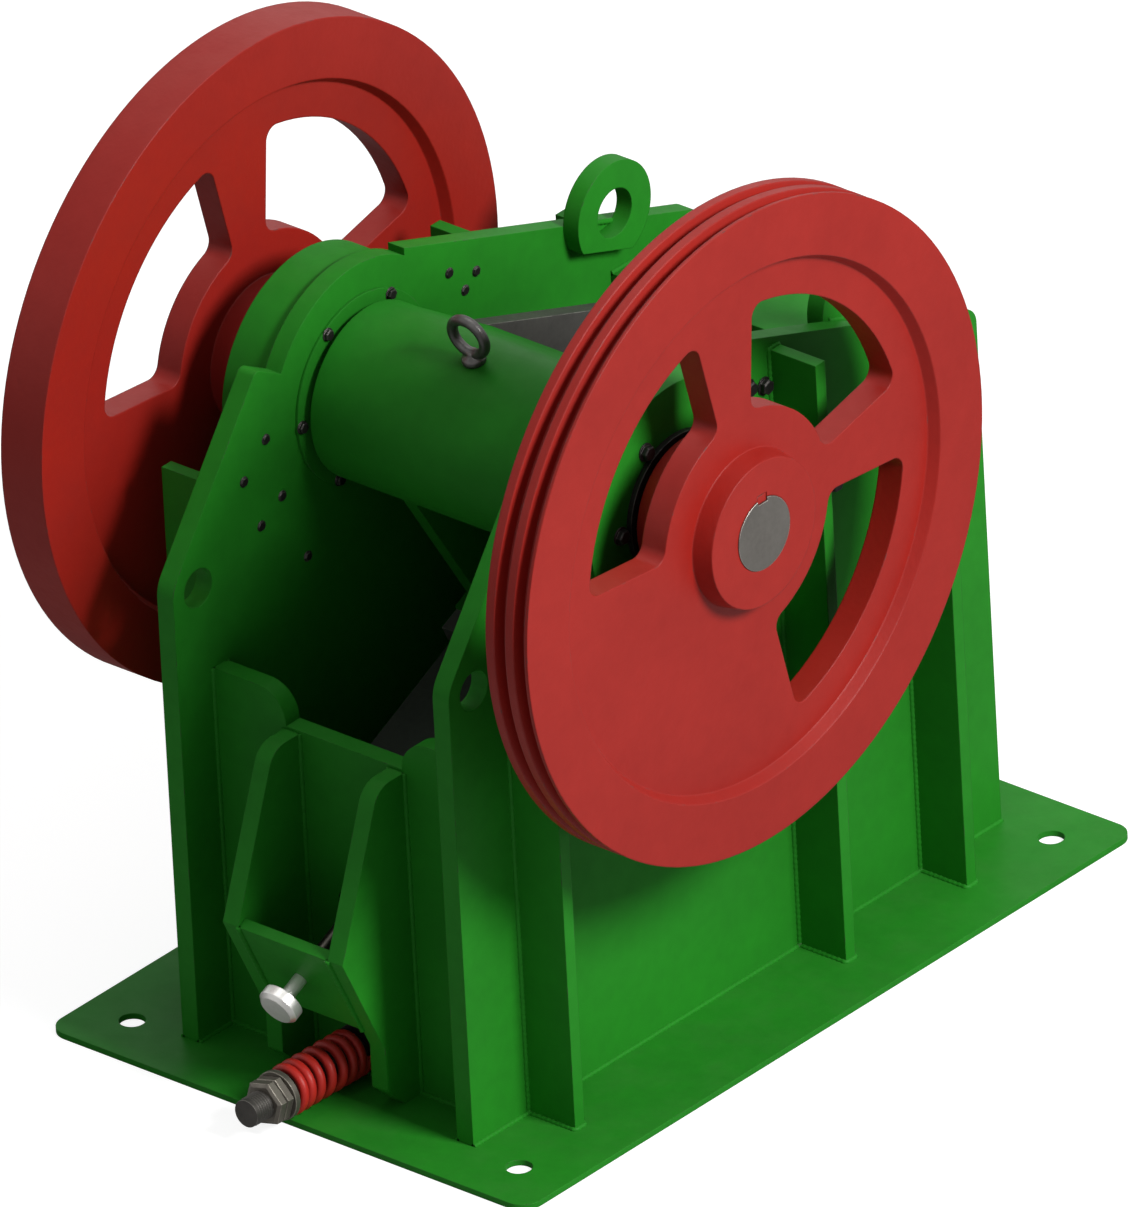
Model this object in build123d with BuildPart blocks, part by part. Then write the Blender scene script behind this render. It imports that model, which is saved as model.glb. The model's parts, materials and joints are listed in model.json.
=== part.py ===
from build123d import *
import math
import os

os.makedirs("parts", exist_ok=True)

# Jaw crusher, in millimetres. X runs across the machine along the shaft, Y from the toggle end
# to the feed end and Z up from the floor. The origin is the middle of the base's underside.
# Positions along Y are given from the rear edge of the base.

# Running fits and the seats of round pieces
running_gap = 0.3
seat_gap = 0.3

# Base plate and its four corner holes
base_length = 896.0
base_width = 598.0
base_thick = 6.0
base_corner_r = 22.0
base_hole_r = 13.0
base_hole_inset = 58.0
discharge_width = 276.0
discharge_start = 190.0
discharge_lip = 12.0

# Side plates
plate_outer_x = 181.0
plate_thick = 20.0
plate_start = 62.0
plate_end = 836.0
plate_corner_r = 20.0
crown_reach = 133.0
crown_fall = 18.9
crown_start = 413.0
crown_r = 129.0
slope_end = 196.0
slope_end_r = 8.0
shoulder_reach = 167.5
shoulder_slope = 53.0
shoulder_r = 36.0
shoulder_hole_r = 20.0
housing_seat_r = 70.0

# Outer ribs: distance along Y and height of each
rib_thick = 14.0
rib_depth = 58.0
rib_places = [(149.0, 567.0), (545.0, 650.0), (723.0, 583.0)]

# Shaft, its bearings and its keyways
shaft_along = 344.0
shaft_z = 589.0
shaft_half = 337.0
journal_r = 40.0
hub_seat_r = 37.0
throw_r = 48.0
throw_offset = 6.0
throw_half = 140.0
housing_r = 124.0
housing_depth = 48.0
seal_r = 97.0
seal_thick = 3.0
cover_r = 73.0
cover_thick = 6.0
key_width = 14.0
key_height = 9.0
key_run = 105.0

# Flywheels
wheel_r = 330.0
rim_inner_x = 275.0
rim_width = 51.0
rim_depth = 61.0
web_thick = 29.0
hub_r = 75.0
hub_inner_x = 240.0
hub_proud = 10.0
groove_width = 14.0
groove_root = 7.0
groove_depth = 12.0
groove_shares = (0.33, 0.79)
window_inner_r = 119.0
window_margin = 41.0
spoke_inner = 46.0
spoke_outer = 81.0
spoke_angle = 4.3
window_corner_r = 14.0

# Swing jaw
barrel_r = 88.0
barrel_half = 150.0
jaw_half = 130.0
jaw_top_ahead = 135.0
jaw_top_below = 21.0
jaw_brow_ahead = 152.0
jaw_brow_above = 6.0
jaw_foot_z = 88.0
discharge_gap = 31.0
jaw_lip = 16.0
jaw_toe = 18.0
slab_thick = 55.0
jaw_rib_thick = 16.0
jaw_rib_x = 62.0
liner_half = 132.0
liner_back = 14.0
tooth_height = 11.0
tooth_count = 12
jaw_head_stand = 89.0
jaw_head_rim = 4.0
jaw_rib_behind = 60.0
jaw_rib_below = 58.0
jaw_ear_height = 70.0

# Toggle plate and its seats: distances along the adjusting bolt's axis, inward from the
# bracket plate
toggle_width = 200.0
toggle_thick = 22.0
seat_width = 210.0
seat_height = 56.0
seat_back = 138.0
seat_face = 176.0
guide_thick = 12.0
groove_sink = 5.0
jaw_seat_thick = 24.0

# Rear wall and its bracket
wall_start = 112.0
wall_thick = 20.0
wall_top = 355.0
wall_shoulder = 389.0
wall_flat_half = 72.0
wall_ear_r = 33.0
bracket_x = 65.0
bracket_thick = 19.0
bracket_top = (74.0, 352.0)
bracket_r = 25.0
bracket_nose = (10.5, 189.0)
bracket_chin = (54.5, 94.5)
bracket_heel = 63.5
bracket_foot_cut = 24.0
bracket_plate_thick = 12.0
bolt_r = 7.0
bolt_head_r = 21.0
bolt_head_thick = 14.0
bolt_head_bevel = 4.0
bolt_hole_r = 18.0
bolt_stand = 27.0

# Tension rod and spring
rod_r = 14.0
rod_pin_behind = 101.0
rod_pin_z = 23.0
rod_rise = 1.2
rod_overhang = 54.0
rod_hole_r = 21.0
rod_eye_r = 18.0
rod_eye_thick = 28.0
rod_pin_r = 9.0
lug_thick = 18.0
spring_r = 20.5
spring_wire_r = 5.0
spring_pitch = 16.5
spring_steps = 12
spring_turns = 6.0
washer_r = 25.0
washer_thick = 6.0
washer_sides = 28
nut_flats = 41.0
nut_thick = 10.0

# Front wall, fixed jaw and cheek liners
front_wall_start = 712.0
front_wall_thick = 20.0
front_wall_top = 550.0
deck_lip = 9.0
deck_thick = 15.0
front_rib_thick = 14.0
front_rib_x = 92.0
front_rib_depth = 95.0
fixed_jaw_foot = 88.0
fixed_jaw_drop = 18.0
cheek_thick = 18.0
cheek_ahead = 110.0
cheek_drop = 86.0
cheek_foot_depth = 112.0
cheek_foot = 88.0

# Lifting lugs and the eye bolt on the barrel
lug_along = 692.0
lug_rise = 15.6
lug_r = 53.0
lug_hole_r = 25.0
lug_root = 38.0
lug_plate_thick = 19.0
eye_tilt = 12.5
eye_ring_r = 19.5
eye_wire_r = 5.5
eye_foot_r = 12.0
eye_foot_height = 7.0
eye_steps = 18

rear = -base_length / 2
shaft_y = rear + shaft_along
plate_inner_x = plate_outer_x - plate_thick
plate_mid_x = plate_outer_x - plate_thick / 2
front_inner = rear + front_wall_start
shaft_centre = (0, shaft_y, shaft_z)
shaft_axis = Axis(shaft_centre, (1, 0, 0))
sides = (("left", -1), ("right", 1))


def crown_z(along):
    """Height of the side plate's straight top edge."""
    fall = math.radians(crown_fall)
    return shaft_z + (crown_reach - (along - shaft_along) * math.sin(fall)) / math.cos(fall)


def shoulder_z(along):
    """Height of the side plate's sloping rear edge."""
    slope = math.radians(shoulder_slope)
    return shaft_z + (shoulder_reach + (along - shaft_along) * math.sin(slope)) / math.cos(slope)


shoulder_hole_z = (shoulder_z(plate_start + shoulder_r)
                   - shoulder_r / math.cos(math.radians(shoulder_slope)))
lug_z = crown_z(lug_along) + lug_rise

# The adjusting bolt, the toggle seats and the toggle plate share one line, square to the
# bracket plate.
bolt_tan = (bracket_chin[0] - bracket_nose[0]) / (bracket_nose[1] - bracket_chin[1])
bolt_angle = math.atan(bolt_tan)
bolt_along = (bracket_nose[0] + bracket_chin[0]) / 2
bolt_start_z = (bracket_nose[1] + bracket_chin[1]) / 2
toggle_plane = Plane(origin=(0, rear + bolt_along, bolt_start_z), x_dir=(1, 0, 0),
                     z_dir=(0, math.cos(bolt_angle), math.sin(bolt_angle)))


def toggle_point(reach, below=0.0):
    """Y and Z of a point at a reach along the toggle line and a distance square below it."""
    return (rear + bolt_along + reach * math.cos(bolt_angle) + below * math.sin(bolt_angle),
            bolt_start_z + reach * math.sin(bolt_angle) - below * math.cos(bolt_angle))


def bolt_z(along):
    return bolt_start_z + (along - bolt_along) * bolt_tan


# The moving jaw leans from its top beside the barrel to its foot, which leaves the discharge
# gap in front of the fixed jaw.
jaw_top = (shaft_along + jaw_top_ahead, shaft_z - jaw_top_below)
jaw_brow = (shaft_along + jaw_brow_ahead, shaft_z + jaw_brow_above)
jaw_foot = (front_wall_start - 2 * (liner_back + tooth_height) - discharge_gap, jaw_foot_z)
jaw_run, jaw_drop = jaw_foot[0] - jaw_top[0], jaw_top[1] - jaw_foot[1]
jaw_length = math.hypot(jaw_run, jaw_drop)
jaw_ahead = (jaw_drop / jaw_length, jaw_run / jaw_length)
jaw_down = (jaw_run / jaw_length, -jaw_drop / jaw_length)


def jaw_point(down, ahead):
    """Y and Z of a point down the jaw's face from its top and ahead of it."""
    return (rear + jaw_top[0] + down * jaw_down[0] + ahead * jaw_ahead[0],
            jaw_top[1] + down * jaw_down[1] + ahead * jaw_ahead[1])


# Where the toggle line meets the back of the jaw's slab
slab_back = jaw_point(0, -slab_thick)
slab_offset = (slab_back[0] - toggle_point(0)[0], slab_back[1] - toggle_point(0)[1])
slab_reach = ((slab_offset[0] * jaw_down[1] - slab_offset[1] * jaw_down[0])
              / (math.cos(bolt_angle) * jaw_down[1] - math.sin(bolt_angle) * jaw_down[0]))
jaw_seat_back = slab_reach - jaw_head_stand
jaw_seat_face = jaw_seat_back - jaw_seat_thick

# The tension rod rises from its pin towards the rear.
rod_pin = (jaw_foot[0] - rod_pin_behind, rod_pin_z)
rod_angle = math.radians(rod_rise)
rod_plane = Plane(origin=(0, rear + rod_pin[0], rod_pin[1]), x_dir=(1, 0, 0),
                  z_dir=(0, -math.cos(rod_angle), math.sin(rod_angle)))


def rod_z(along):
    return rod_pin[1] + (rod_pin[0] - along) * math.tan(rod_angle)


def rod_reach(along):
    return (rod_pin[0] - along) / math.cos(rod_angle)


# Base plate
discharge_end = front_wall_start - discharge_lip
with BuildPart() as base_plate:
    with BuildSketch() as outline:
        Rectangle(base_width, base_length)
        fillet(outline.vertices(), base_corner_r)
        with GridLocations(base_width - 2 * base_hole_inset, base_length - 2 * base_hole_inset,
                           2, 2):
            Circle(base_hole_r, mode=Mode.SUBTRACT)
        with Locations((0, rear + (discharge_start + discharge_end) / 2)):
            Rectangle(discharge_width, discharge_end - discharge_start, mode=Mode.SUBTRACT)
    extrude(amount=base_thick)
base_plate.part.label = "base_plate"
export_step(base_plate.part, "parts/base_plate.step")

for side, sign in sides:
    # Side plate: a vertical rear edge, a rounded shoulder with its hole, a crown round the
    # bearing and a straight top edge that falls to the feed end
    with BuildPart() as side_plate:
        with BuildSketch(Plane.YZ.offset(sign * plate_mid_x)) as outline:
            with BuildLine():
                Polyline((rear + plate_start, base_thick),
                         (rear + plate_start, shoulder_z(plate_start)),
                         (rear + slope_end, shoulder_z(slope_end)),
                         (shaft_y, shaft_z), (rear + crown_start, shaft_z),
                         (rear + crown_start, crown_z(crown_start)),
                         (rear + plate_end, crown_z(plate_end)),
                         (rear + plate_end, base_thick), close=True)
            make_face()
            for along, up, radius in ((plate_start, shoulder_z(plate_start), shoulder_r),
                                      (slope_end, shoulder_z(slope_end), slope_end_r),
                                      (plate_end, crown_z(plate_end), plate_corner_r)):
                fillet(outline.vertices().sort_by_distance((rear + along, up, 0))[0], radius)
            with Locations((shaft_y, shaft_z)):
                Circle(crown_r)
                Circle(housing_seat_r, mode=Mode.SUBTRACT)
            with Locations((rear + plate_start + shoulder_r, shoulder_hole_z)):
                Circle(shoulder_hole_r, mode=Mode.SUBTRACT)
        extrude(amount=plate_thick / 2, both=True)
    side_plate.part.label = f"{side}_side_plate"
    export_step(side_plate.part, f"parts/{side}_side_plate.step")

    for number, (along, top) in enumerate(rib_places, 1):
        with BuildPart() as rib:
            with Locations((sign * (plate_outer_x + rib_depth / 2), rear + along,
                            (base_thick + top) / 2)):
                Box(rib_depth, rib_thick, top - base_thick)
        rib.part.label = f"{side}_rib_{number}"
        export_step(rib.part, f"parts/{side}_rib_{number}.step")

    # Bearing housing: a seal ring on the plate's inner face, a spigot in the plate and a thick
    # round flange outside it
    housing_outer_x = plate_outer_x + housing_depth
    with BuildPart() as housing:
        with BuildSketch(Plane.XY.offset(shaft_z)):
            with BuildLine():
                Polyline((sign * (plate_inner_x - seal_thick), shaft_y + journal_r + running_gap),
                         (sign * (plate_inner_x - seal_thick), shaft_y + seal_r),
                         (sign * plate_inner_x, shaft_y + seal_r),
                         (sign * plate_inner_x, shaft_y + housing_seat_r - seat_gap),
                         (sign * plate_outer_x, shaft_y + housing_seat_r - seat_gap),
                         (sign * plate_outer_x, shaft_y + housing_r),
                         (sign * housing_outer_x, shaft_y + housing_r),
                         (sign * housing_outer_x, shaft_y + journal_r + running_gap), close=True)
            make_face()
        revolve(axis=shaft_axis)
    housing.part.label = f"{side}_bearing_housing"
    export_step(housing.part, f"parts/{side}_bearing_housing.step")

    with BuildPart() as cover:
        with BuildSketch(Plane.YZ.offset(sign * (plate_outer_x + housing_depth
                                                 + cover_thick / 2))):
            with Locations((shaft_y, shaft_z)):
                Circle(cover_r)
                Circle(journal_r + running_gap, mode=Mode.SUBTRACT)
        extrude(amount=cover_thick / 2, both=True)
    cover.part.label = f"{side}_bearing_cover"
    export_step(cover.part, f"parts/{side}_bearing_cover.step")

    # Cheek liner on the inner face, beside the crushing chamber
    cheek_start = shaft_along + cheek_ahead
    with BuildPart() as cheek:
        with BuildSketch(Plane.YZ.offset(sign * (plate_inner_x - cheek_thick / 2))):
            with BuildLine():
                Polyline((rear + cheek_start, crown_z(cheek_start) - cheek_drop),
                         (front_inner, crown_z(front_wall_start) - cheek_drop),
                         (front_inner, cheek_foot),
                         (front_inner - cheek_foot_depth, cheek_foot), close=True)
            make_face()
        extrude(amount=cheek_thick / 2, both=True)
    cheek.part.label = f"{side}_cheek_liner"
    export_step(cheek.part, f"parts/{side}_cheek_liner.step")

    # Lifting lug: a round plate on the inner face, with a straight root along the plate's edge
    lug_fall = math.radians(crown_fall)
    root_middle = (lug_root + lug_r) / 2
    with BuildPart() as lug:
        with BuildSketch(Plane.YZ.offset(sign * (plate_inner_x - lug_plate_thick / 2))):
            with Locations((rear + lug_along, lug_z)):
                Circle(lug_r)
                Circle(lug_hole_r, mode=Mode.SUBTRACT)
            with Locations((rear + lug_along - root_middle * math.sin(lug_fall),
                            lug_z - root_middle * math.cos(lug_fall))):
                Rectangle(2 * lug_r, lug_r - lug_root, rotation=-crown_fall,
                          mode=Mode.SUBTRACT)
        extrude(amount=lug_plate_thick / 2, both=True)
    lug.part.label = f"{side}_lifting_lug"
    export_step(lug.part, f"parts/{side}_lifting_lug.step")

# Front wall between the side plates, its outer ribs and the deck on top
front_wall_height = front_wall_top - deck_thick - base_thick
front_wall_mid_z = base_thick + front_wall_height / 2
with BuildPart() as front_wall:
    with Locations((0, front_inner + front_wall_thick / 2, front_wall_mid_z)):
        Box(2 * plate_inner_x, front_wall_thick, front_wall_height)
front_wall.part.label = "front_wall"
export_step(front_wall.part, "parts/front_wall.step")

for number, across in enumerate((-front_rib_x, 0, front_rib_x), 1):
    with BuildPart() as front_rib:
        with Locations((across, front_inner + front_wall_thick + front_rib_depth / 2,
                        front_wall_mid_z)):
            Box(front_rib_thick, front_rib_depth, front_wall_height)
    front_rib.part.label = f"front_rib_{number}"
    export_step(front_rib.part, f"parts/front_rib_{number}.step")

deck_start = front_wall_start - deck_lip
with BuildPart() as deck:
    with Locations((0, rear + (deck_start + plate_end) / 2, front_wall_top - deck_thick / 2)):
        Box(2 * plate_inner_x, plate_end - deck_start, deck_thick)
deck.part.label = "front_deck"
export_step(deck.part, "parts/front_deck.step")


def toothed_outline(width, crest_first):
    """Outline of a jaw plate: a flat back at zero and a row of teeth on the crushing side."""
    pitch = width / tooth_count
    low, high = liner_back, liner_back + tooth_height
    first, second = (high, low) if crest_first else (low, high)
    points = [(-width / 2, 0), (-width / 2, first)]
    for i in range(tooth_count):
        points.append((-width / 2 + (i + 0.5) * pitch, second))
        points.append((-width / 2 + (i + 1) * pitch, first))
    return points + [(width / 2, 0)]


fixed_jaw_top = front_wall_top - fixed_jaw_drop
with BuildPart() as fixed_jaw:
    with BuildSketch(Plane(origin=(0, front_inner, fixed_jaw_foot), x_dir=(-1, 0, 0),
                           z_dir=(0, 0, 1))):
        with BuildLine():
            Polyline(*toothed_outline(2 * liner_half, True), close=True)
        make_face()
    extrude(amount=fixed_jaw_top - fixed_jaw_foot)
fixed_jaw.part.label = "fixed_jaw_plate"
export_step(fixed_jaw.part, "parts/fixed_jaw_plate.step")

# Rear wall with raised shoulders, a hole for the adjusting bolt and one for the tension rod
with BuildPart() as rear_wall:
    with BuildSketch(Plane.XZ.offset(-(rear + wall_start))) as wall_face:
        with BuildLine():
            Polyline((-plate_inner_x, base_thick), (-plate_inner_x, wall_shoulder),
                     (-wall_flat_half, wall_shoulder), (-wall_flat_half, wall_top),
                     (wall_flat_half, wall_top), (wall_flat_half, wall_shoulder),
                     (plate_inner_x, wall_shoulder), (plate_inner_x, base_thick), close=True)
        make_face()
        fillet([wall_face.vertices().sort_by_distance((across, wall_shoulder, 0))[0]
                for across in (-wall_flat_half, wall_flat_half)], wall_ear_r)
        with Locations((0, rod_z(wall_start + wall_thick / 2))):
            Circle(rod_hole_r, mode=Mode.SUBTRACT)
        with Locations((0, bolt_z(wall_start + wall_thick / 2))):
            Circle(bolt_hole_r, mode=Mode.SUBTRACT)
    extrude(amount=-wall_thick)
rear_wall.part.label = "rear_wall"
export_step(rear_wall.part, "parts/rear_wall.step")

# Rear bracket: two ribs with a sloping nose and a set-back heel, and between them the plate
# for the bolt
bracket_heel_z = bracket_chin[1] - (bracket_heel - bracket_chin[0]) / bolt_tan
for side, sign in sides:
    with BuildPart() as bracket_rib:
        with BuildSketch(Plane.YZ.offset(sign * bracket_x)) as outline:
            with BuildLine():
                Polyline((rear + wall_start, base_thick),
                         (rear + bracket_heel + bracket_foot_cut, base_thick),
                         (rear + bracket_heel, base_thick + bracket_foot_cut),
                         (rear + bracket_heel, bracket_heel_z),
                         (rear + bracket_nose[0], bracket_nose[1]),
                         (rear + bracket_top[0], bracket_top[1]),
                         (rear + wall_start, bracket_top[1]), close=True)
            make_face()
            fillet(outline.vertices().sort_by_distance((rear + bracket_top[0],
                                                        bracket_top[1], 0))[0], bracket_r)
        extrude(amount=bracket_thick / 2, both=True)
    bracket_rib.part.label = f"{side}_bracket_rib"
    export_step(bracket_rib.part, f"parts/{side}_bracket_rib.step")

bracket_plate_length = math.hypot(bracket_chin[0] - bracket_nose[0],
                                  bracket_nose[1] - bracket_chin[1])
with BuildPart() as bracket_plate:
    with BuildSketch(toggle_plane):
        Rectangle(2 * bracket_x - bracket_thick, bracket_plate_length)
        Circle(bolt_r + seat_gap, mode=Mode.SUBTRACT)
    extrude(amount=bracket_plate_thick)
bracket_plate.part.label = "bracket_plate"
export_step(bracket_plate.part, "parts/bracket_plate.step")

# Adjusting bolt: a chamfered round head outside and a stem that bears on the toggle seat
with BuildPart() as adjusting_bolt:
    with BuildSketch(toggle_plane.offset(-bolt_stand - bolt_head_thick)):
        Circle(bolt_head_r)
    extrude(amount=bolt_head_thick)
    head_face = toggle_plane.offset(-bolt_stand - bolt_head_thick).origin
    chamfer(adjusting_bolt.edges().filter_by(GeomType.CIRCLE).sort_by_distance(head_face)[0],
            bolt_head_bevel)
    with BuildSketch(toggle_plane.offset(-bolt_stand)):
        Circle(bolt_r)
    extrude(amount=bolt_stand + seat_back)
adjusting_bolt.part.label = "adjusting_bolt"
export_step(adjusting_bolt.part, "parts/adjusting_bolt.step")

# Guide box on the rear wall, and the toggle seat that slides in it
wall_inner = wall_start + wall_thick
guide_half = seat_height / 2 + seat_gap + guide_thick
with BuildPart() as seat_guide:
    with BuildSketch(Plane.YZ):
        with BuildLine():
            Polyline((rear + wall_inner, bolt_z(wall_inner) - guide_half / math.cos(bolt_angle)),
                     (rear + wall_inner, bolt_z(wall_inner) + guide_half / math.cos(bolt_angle)),
                     toggle_point(seat_face, -guide_half), toggle_point(seat_face, guide_half),
                     close=True)
        make_face()
    extrude(amount=seat_width / 2 + seat_gap + guide_thick, both=True)
    with BuildSketch(toggle_plane):
        Rectangle(seat_width + 2 * seat_gap, seat_height + 2 * seat_gap)
    extrude(amount=2 * seat_face, mode=Mode.SUBTRACT)
seat_guide.part.label = "seat_guide"
export_step(seat_guide.part, "parts/seat_guide.step")

toggle_end_r = toggle_thick / 2
with BuildPart() as toggle_seat:
    with BuildSketch(toggle_plane.offset(seat_back)):
        Rectangle(seat_width, seat_height)
    extrude(amount=seat_face - seat_back)
    with BuildSketch(Plane.YZ):
        with Locations(toggle_point(seat_face - groove_sink + toggle_end_r + seat_gap)):
            Circle(toggle_end_r + 2 * seat_gap)
    extrude(amount=seat_width, both=True, mode=Mode.SUBTRACT)
toggle_seat.part.label = "toggle_seat"
export_step(toggle_seat.part, "parts/toggle_seat.step")

with BuildPart() as jaw_seat:
    with BuildSketch(toggle_plane.offset(jaw_seat_face)):
        Rectangle(seat_width, seat_height)
    extrude(amount=jaw_seat_back - jaw_seat_face)
    with BuildSketch(Plane.YZ):
        with Locations(toggle_point(jaw_seat_face + groove_sink - toggle_end_r - seat_gap)):
            Circle(toggle_end_r + 2 * seat_gap)
    extrude(amount=seat_width, both=True, mode=Mode.SUBTRACT)
jaw_seat.part.label = "jaw_toggle_seat"
export_step(jaw_seat.part, "parts/jaw_toggle_seat.step")

toggle_start = seat_face - groove_sink + seat_gap
toggle_end = jaw_seat_face + groove_sink - seat_gap
with BuildPart() as toggle_plate:
    with BuildSketch(toggle_plane.offset(toggle_start + toggle_end_r)):
        Rectangle(toggle_width, toggle_thick)
    extrude(amount=toggle_end - toggle_start - toggle_thick)
    for reach in (toggle_start + toggle_end_r, toggle_end - toggle_end_r):
        with BuildSketch(Plane.YZ):
            with Locations(toggle_point(reach)):
                Circle(toggle_end_r)
        extrude(amount=toggle_width / 2, both=True)
toggle_plate.part.label = "toggle_plate"
export_step(toggle_plate.part, "parts/toggle_plate.step")

# Swing jaw: the barrel round the shaft, the slab behind the jaw plate, two ribs, the head for
# the toggle seat and two ears for the tension rod
bore_r = throw_r + throw_offset + running_gap
brow_away = math.hypot(jaw_brow[0] - shaft_along, jaw_brow[1] - shaft_z)
brow_turn = (math.atan2(jaw_brow[1] - shaft_z, jaw_brow[0] - shaft_along)
             + math.acos(barrel_r / brow_away))
brow_start = (shaft_y + barrel_r * math.cos(brow_turn), shaft_z + barrel_r * math.sin(brow_turn))

with BuildPart() as pitman:
    with BuildSketch(Plane.YZ):
        with Locations((shaft_y, shaft_z)):
            Circle(barrel_r)
    extrude(amount=barrel_half, both=True)
    with BuildSketch(Plane.YZ):
        with BuildLine():
            Polyline((shaft_y, shaft_z), brow_start, (rear + jaw_brow[0], jaw_brow[1]),
                     jaw_point(0, jaw_lip), jaw_point(0, 0), jaw_point(jaw_length, 0),
                     jaw_point(jaw_length, jaw_lip), jaw_point(jaw_length + jaw_toe, jaw_lip),
                     jaw_point(jaw_length + jaw_toe, -slab_thick), jaw_point(0, -slab_thick),
                     close=True)
        make_face()
    extrude(amount=jaw_half, both=True)
    with BuildSketch(toggle_plane.offset(jaw_seat_back)):
        Rectangle(seat_width, seat_height + 2 * jaw_head_rim)
    extrude(amount=jaw_head_stand + slab_thick / 2)
    for across in (-jaw_rib_x, jaw_rib_x):
        with BuildSketch(Plane.YZ.offset(across)):
            with BuildLine():
                Polyline((shaft_y, shaft_z), (shaft_y - jaw_rib_behind, shaft_z - jaw_rib_below),
                         toggle_point(jaw_seat_back + 1, -seat_height / 2 - jaw_head_rim),
                         toggle_point(jaw_seat_back + 1, seat_height / 2 + jaw_head_rim),
                         jaw_point(jaw_length, -slab_thick - 2),
                         jaw_point(jaw_length, -slab_thick / 2), jaw_point(0, -slab_thick / 2),
                         close=True)
            make_face()
        extrude(amount=jaw_rib_thick / 2, both=True)
    for across in (-1, 1):
        with BuildSketch(Plane.YZ.offset(across * (rod_eye_thick + lug_thick + 1) / 2)):
            with Locations((rear + rod_pin[0], rod_pin[1])):
                Circle(rod_eye_r)
            with BuildLine():
                Polyline((rear + rod_pin[0], rod_pin[1] - rod_eye_r),
                         jaw_point(jaw_length + jaw_toe, -slab_thick),
                         jaw_point(jaw_length + jaw_toe, -slab_thick / 2),
                         jaw_point(jaw_length - jaw_ear_height, -slab_thick / 2),
                         jaw_point(jaw_length - jaw_ear_height, -slab_thick),
                         (rear + rod_pin[0] - rod_eye_r * 0.7, rod_pin[1] + rod_eye_r * 0.7),
                         close=True)
            make_face()
        extrude(amount=lug_thick / 2, both=True)
    with BuildSketch(Plane.YZ):
        with Locations((shaft_y, shaft_z)):
            Circle(bore_r)
        with Locations((rear + rod_pin[0], rod_pin[1])):
            Circle(rod_pin_r + seat_gap)
    extrude(amount=barrel_half, both=True, mode=Mode.SUBTRACT)
pitman.part.label = "pitman"
export_step(pitman.part, "parts/pitman.step")

with BuildPart() as moving_jaw:
    top_y, top_z = jaw_point(0, 0)
    with BuildSketch(Plane(origin=(0, top_y, top_z), x_dir=(-1, 0, 0),
                           z_dir=(0, jaw_down[0], jaw_down[1]))):
        with BuildLine():
            Polyline(*toothed_outline(2 * liner_half, False), close=True)
        make_face()
    extrude(amount=jaw_length)
moving_jaw.part.label = "moving_jaw_plate"
export_step(moving_jaw.part, "parts/moving_jaw_plate.step")

# Eye bolt on the barrel, leaning to the rear
eye_lean = math.radians(eye_tilt)
eye_plane = Plane(origin=(0, shaft_y - barrel_r * math.sin(eye_lean),
                          shaft_z + barrel_r * math.cos(eye_lean)),
                  x_dir=(1, 0, 0), z_dir=(0, -math.sin(eye_lean), math.cos(eye_lean)))
with BuildPart() as eye_bolt:
    with BuildSketch(eye_plane.offset(seat_gap)):
        Circle(eye_foot_r)
    extrude(amount=eye_foot_height)
    ring_up = seat_gap + eye_foot_height + eye_ring_r + eye_wire_r - 3
    ring_centre = eye_plane.offset(ring_up).origin
    ring_plane = Plane(origin=ring_centre, x_dir=(1, 0, 0), z_dir=eye_plane.y_dir)
    with BuildLine() as ring:
        Polyline(*[ring_plane.from_local_coords(
            Vector(eye_ring_r * math.cos(math.tau * step / eye_steps),
                   eye_ring_r * math.sin(math.tau * step / eye_steps), 0))
            for step in range(eye_steps)], close=True)
    with BuildSketch(Plane(origin=ring.line @ 0.5, z_dir=ring.line % 0.5)):
        RegularPolygon(eye_wire_r, 8)
    sweep(path=ring.line, transition=Transition.RIGHT)
eye_bolt.part.label = "eye_bolt"
export_step(eye_bolt.part, "parts/eye_bolt.step")

# Tension rod with its eye, the pin through the jaw's ears, the spring and what holds it
with BuildPart() as tension_rod:
    with BuildSketch(rod_plane):
        Circle(rod_r)
    extrude(amount=rod_reach(-rod_overhang))
    with BuildSketch(Plane.YZ):
        with Locations((rear + rod_pin[0], rod_pin[1])):
            Circle(rod_eye_r)
    extrude(amount=rod_eye_thick / 2, both=True)
    with BuildSketch(Plane.YZ):
        with Locations((rear + rod_pin[0], rod_pin[1])):
            Circle(rod_pin_r + seat_gap)
    extrude(amount=rod_eye_thick, both=True, mode=Mode.SUBTRACT)
tension_rod.part.label = "tension_rod"
export_step(tension_rod.part, "parts/tension_rod.step")

with BuildPart() as pin:
    with BuildSketch(Plane.YZ):
        with Locations((rear + rod_pin[0], rod_pin[1])):
            Circle(rod_pin_r)
    extrude(amount=rod_eye_thick / 2 + lug_thick + 4, both=True)
pin.part.label = "rod_pin"
export_step(pin.part, "parts/rod_pin.step")

with BuildPart() as spring_seat:
    with BuildSketch(Plane.XZ.offset(-(rear + wall_start))):
        with Locations((0, rod_z(wall_start - washer_thick / 2))):
            RegularPolygon(washer_r, washer_sides)
            RegularPolygon(rod_r + 2, washer_sides, mode=Mode.SUBTRACT)
    extrude(amount=washer_thick)
spring_seat.part.label = "spring_seat"
export_step(spring_seat.part, "parts/spring_seat.step")

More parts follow.
